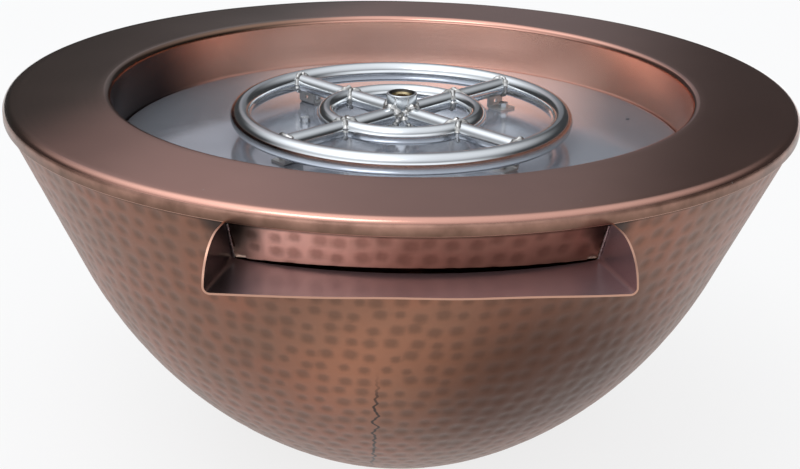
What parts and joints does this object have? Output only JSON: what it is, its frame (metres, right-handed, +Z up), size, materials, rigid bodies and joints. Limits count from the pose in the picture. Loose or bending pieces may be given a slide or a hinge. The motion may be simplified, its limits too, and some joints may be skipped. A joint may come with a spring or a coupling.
{
  "type": "fire and water bowl",
  "caption": "Hammered copper fire-and-water bowl: round bowl with a wide flat rim, a folded spillway spout under the hem, and a lift-out pan with a double-ring gas burner.",
  "frame": {"origin": "centre of the gas opening in the base, on the plane that the bowl stands on", "axes": "+Z up along the bowl's axis, -Y out of the spout, +X to the right seen from the spout's side"},
  "size_m": [0.6859, 0.708, 0.333],
  "materials": {
    "hammered_copper": "hammered, dark patina",
    "satin_copper": "satin, dark patina",
    "plain_copper": "mill copper",
    "pan_steel": "bright rolled stainless",
    "polished_steel": "polished stainless",
    "zinc_steel": "zinc plated",
    "yellow_brass": "machined",
    "washer_rubber": "matt"
  },
  "bodies": {
    "bowl": {"shoulder_band": "hammered_copper", "slot_band": "hammered_copper", "bowl_wall": "hammered_copper", "bowl_belly": "hammered_copper", "base_plate": "plain_copper", "rim_collar": "satin_copper", "well_ring": "satin_copper", "spout_tray": "satin_copper", "weir_box": "plain_copper", "water_riser": "plain_copper", "inlet_coupling": "yellow_brass", "gas_sleeve": "plain_copper"},
    "burner": {"burner_pan": "pan_steel", "outer_ring": "polished_steel", "inner_ring": "polished_steel", "burner_hub": "polished_steel", "hub_plug": "yellow_brass", "gas_adapter": "yellow_brass", "adapter_washer": "washer_rubber", "bracket_screws": "zinc_steel", "pan_screw": "zinc_steel", "outer_spoke_1": "polished_steel", "inner_spoke_1": "polished_steel", "bracket_1": "polished_steel", "outer_spoke_2": "polished_steel", "inner_spoke_2": "polished_steel", "bracket_2": "polished_steel", "outer_spoke_3": "polished_steel", "inner_spoke_3": "polished_steel", "bracket_3": "polished_steel", "outer_spoke_4": "polished_steel", "inner_spoke_4": "polished_steel", "bracket_4": "polished_steel"}
  },
  "joints": [
    {"name": "burner_lift", "type": "slide", "parent": "bowl", "child": "burner", "axis": [0, 0, 1], "range_m": [0, 0.11]}
  ]
}
